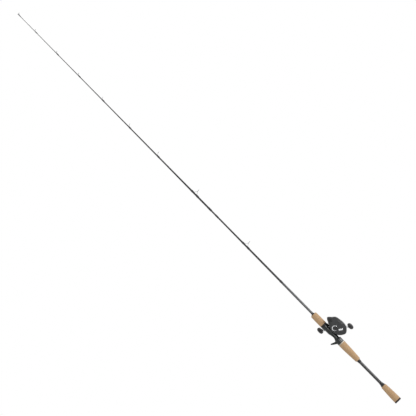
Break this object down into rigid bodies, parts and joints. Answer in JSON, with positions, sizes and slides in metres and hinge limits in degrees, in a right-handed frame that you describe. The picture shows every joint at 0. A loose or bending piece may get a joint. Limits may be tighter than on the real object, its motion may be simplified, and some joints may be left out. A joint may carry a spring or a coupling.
{
  "type": "fishing rod and reel",
  "caption": "Two-section casting rod with split cork grips, trigger reel seat and ring line guides, carrying a low-profile baitcasting reel with a double-paddle crank.",
  "frame": {"origin": "centre of the butt cap's end face, on the rod's axis", "axes": "+X along the rod from butt to tip, +Z towards the side that carries the reel, +Y towards the palm side of the reel, opposite the crank"},
  "size_m": [1.9788, 0.1035, 0.1075],
  "materials": {
    "carbon_blank": "gloss lacquer over dark carbon fibre",
    "dark_rubber": "matt",
    "cork": "fine sanded cork",
    "black_trim": "gloss black",
    "trim_metal": "satin",
    "seat_plastic": "gloss greenish black",
    "sleeve_grey": "gloss grey lacquer",
    "thread_wrap": "black thread under clear epoxy",
    "ring_ceramic": "polished",
    "guide_steel": "black plated",
    "frame_metal": "satin anodised",
    "cover_graphite": "satin graphite",
    "bright_steel": "machined",
    "nut_metal": "black anodised",
    "silver_metal": "polished",
    "dial_plastic": "satin",
    "magnet_metal": "plated",
    "spool_metal": "anodised",
    "yoke_plastic": "moulded",
    "gear_brass": "machined",
    "washer_fibre": "woven fibre",
    "knob_rubber": "soft-touch",
    "idler_plastic": "moulded"
  },
  "bodies": {
    "rod_butt": {"butt_blank": "carbon_blank", "butt_cap": "dark_rubber", "butt_grip": "cork", "butt_grip_check": "black_trim", "rear_grip_check": "black_trim", "rear_grip": "cork", "rear_trim_ring": "trim_metal", "reel_seat": "seat_plastic", "blank_sleeve": "sleeve_grey", "butt_thread_wraps": "thread_wrap", "butt_guide_ring": "ring_ceramic", "guide_frame_8": "guide_steel", "reel_frame": "frame_metal", "handle_side_cover": "cover_graphite", "cover_screws": "bright_steel", "nose_cover": "cover_graphite", "crank_side_bearings": "bright_steel", "frame_pins": "bright_steel", "guide_rod": "bright_steel", "anti_reverse_bearing": "bright_steel"},
    "rod_tip": {"tip_blank": "carbon_blank", "tip_thread_wraps": "thread_wrap", "tip_guide_rings": "ring_ceramic", "tip_guide_frames": "guide_steel", "guide_frame_5": "guide_steel", "guide_frame_6": "guide_steel", "guide_frame_7": "guide_steel", "tip_top": "guide_steel"},
    "seat_hood": {"seat_hood": "seat_plastic"},
    "fore_grip": {"seat_lock_nut": "nut_metal", "fore_grip": "cork", "fore_grip_check": "black_trim"},
    "palm_cover": {"palm_side_cover": "cover_graphite", "palm_spool_bearing": "bright_steel", "dial_bezel": "silver_metal"},
    "brake_dial": {"brake_dial": "dial_plastic"},
    "brake_magnets": {"brake_magnets": "magnet_metal"},
    "cover_latch": {"side_cover_latch": "silver_metal"},
    "spool": {"spool": "spool_metal", "spool_shaft": "bright_steel"},
    "clutch_yoke": {"clutch_yoke": "yoke_plastic", "clutch_springs": "bright_steel"},
    "pinion": {"pinion_gear": "gear_brass"},
    "crank": {"main_shaft": "bright_steel", "ratchet_cog": "gear_brass", "drive_gear": "gear_brass", "drag_washers": "washer_fibre", "handle_arm": "silver_metal", "handle_nut": "bright_steel", "knob_shafts": "bright_steel"},
    "drag_star": {"drag_star": "silver_metal"},
    "front_knob": {"front_knob": "knob_rubber"},
    "rear_knob": {"rear_knob": "knob_rubber"},
    "idler": {"idler_gear": "idler_plastic"},
    "worm": {"worm_shaft": "bright_steel"},
    "line_guide": {"line_guide": "black_trim", "line_guide_ring": "ring_ceramic", "level_wind_pawl": "gear_brass"},
    "tension_knob": {"tension_knob": "nut_metal"},
    "thumb_bar": {"thumb_bar": "cover_graphite"}
  },
  "joints": [
    {"name": "tip_section_pull", "type": "slide", "parent": "rod_butt", "child": "rod_tip", "axis": [1, 0, 0], "range_m": [0, 0.07]},
    {"name": "hood_slide", "type": "slide", "parent": "rod_butt", "child": "seat_hood", "axis": [1, 0, 0], "range_m": [0, 0.0075]},
    {"name": "lock_nut_turn", "type": "hinge", "parent": "seat_hood", "child": "fore_grip", "pos_m": [0.388, 0, 0], "axis": [1, 0, 0], "range_deg": [0, 1801]},
    {"name": "palm_cover_pull", "type": "slide", "parent": "rod_butt", "child": "palm_cover", "axis": [0, 1, 0], "range_m": [0, 0.025]},
    {"name": "brake_dial_turn", "type": "hinge", "parent": "palm_cover", "child": "brake_dial", "pos_m": [0.3518, 0.0285, 0.0211], "axis": [0, 1, 0], "range_deg": [0, 270.5]},
    {"name": "brake_magnet_slide", "type": "slide", "parent": "palm_cover", "child": "brake_magnets", "axis": [0, 1, 0], "range_m": [0, 0.0015]},
    {"name": "cover_latch_turn", "type": "hinge", "parent": "palm_cover", "child": "cover_latch", "pos_m": [0.3362, 0.0285, 0.0292], "axis": [0, 1, 0], "range_deg": [0, 60]},
    {"name": "handle_turn", "type": "hinge", "parent": "rod_butt", "child": "crank", "pos_m": [0.3495, -0.03, 0.0215], "axis": [0, 1, 0], "continuous": true},
    {"name": "spool_spin", "type": "hinge", "parent": "rod_butt", "child": "spool", "pos_m": [0.35751, 0, 0.0401], "axis": [0, 1, 0], "continuous": true},
    {"name": "thumb_bar_press", "type": "slide", "parent": "rod_butt", "child": "thumb_bar", "axis": [0, 0, -1], "range_m": [0, 0.0045]},
    {"name": "clutch_yoke_slide", "type": "slide", "parent": "rod_butt", "child": "clutch_yoke", "axis": [0, -1, 0], "range_m": [0, 0.00201]},
    {"name": "pinion_spin", "type": "hinge", "parent": "clutch_yoke", "child": "pinion", "pos_m": [0.35751, -0.02, 0.0401], "axis": [0, 1, 0], "continuous": true},
    {"name": "idler_spin", "type": "hinge", "parent": "rod_butt", "child": "idler", "pos_m": [0.36917, -0.0162, 0.02515], "axis": [0, 1, 0], "continuous": true},
    {"name": "worm_spin", "type": "hinge", "parent": "rod_butt", "child": "worm", "pos_m": [0.38389, 0, 0.02801], "axis": [0, 1, 0], "continuous": true},
    {"name": "line_guide_slide", "type": "slide", "parent": "rod_butt", "child": "line_guide", "axis": [0, 1, 0], "range_m": [-0.007, 0.007]},
    {"name": "drag_star_turn", "type": "hinge", "parent": "crank", "child": "drag_star", "pos_m": [0.3495, -0.038, 0.0215], "axis": [0, 1, 0], "range_deg": [0, 540]},
    {"name": "front_knob_spin", "type": "hinge", "parent": "crank", "child": "front_knob", "pos_m": [0.38212, -0.06, -0.0234], "axis": [0, 1, 0], "continuous": true},
    {"name": "rear_knob_spin", "type": "hinge", "parent": "crank", "child": "rear_knob", "pos_m": [0.31688, -0.06, 0.0664], "axis": [0, 1, 0], "continuous": true},
    {"name": "tension_knob_turn", "type": "hinge", "parent": "rod_butt", "child": "tension_knob", "pos_m": [0.35751, -0.033, 0.0401], "axis": [0, 1, 0], "range_deg": [0, 720]}
  ],
  "couplings": [
    {"joint": "lock_nut_turn", "follows": "hood_slide", "rad_per_m": 4188.8},
    {"joint": "brake_dial_turn", "follows": "brake_magnet_slide", "rad_per_m": 3141.6},
    {"joint": "spool_spin", "follows": "handle_turn", "ratio": -6.3636},
    {"joint": "pinion_spin", "follows": "handle_turn", "ratio": -6.3636},
    {"joint": "idler_spin", "follows": "handle_turn", "ratio": -0.81818},
    {"joint": "worm_spin", "follows": "handle_turn", "ratio": 2.25},
    {"joint": "clutch_yoke_slide", "follows": "thumb_bar_press", "ratio": 0.444}
  ]
}
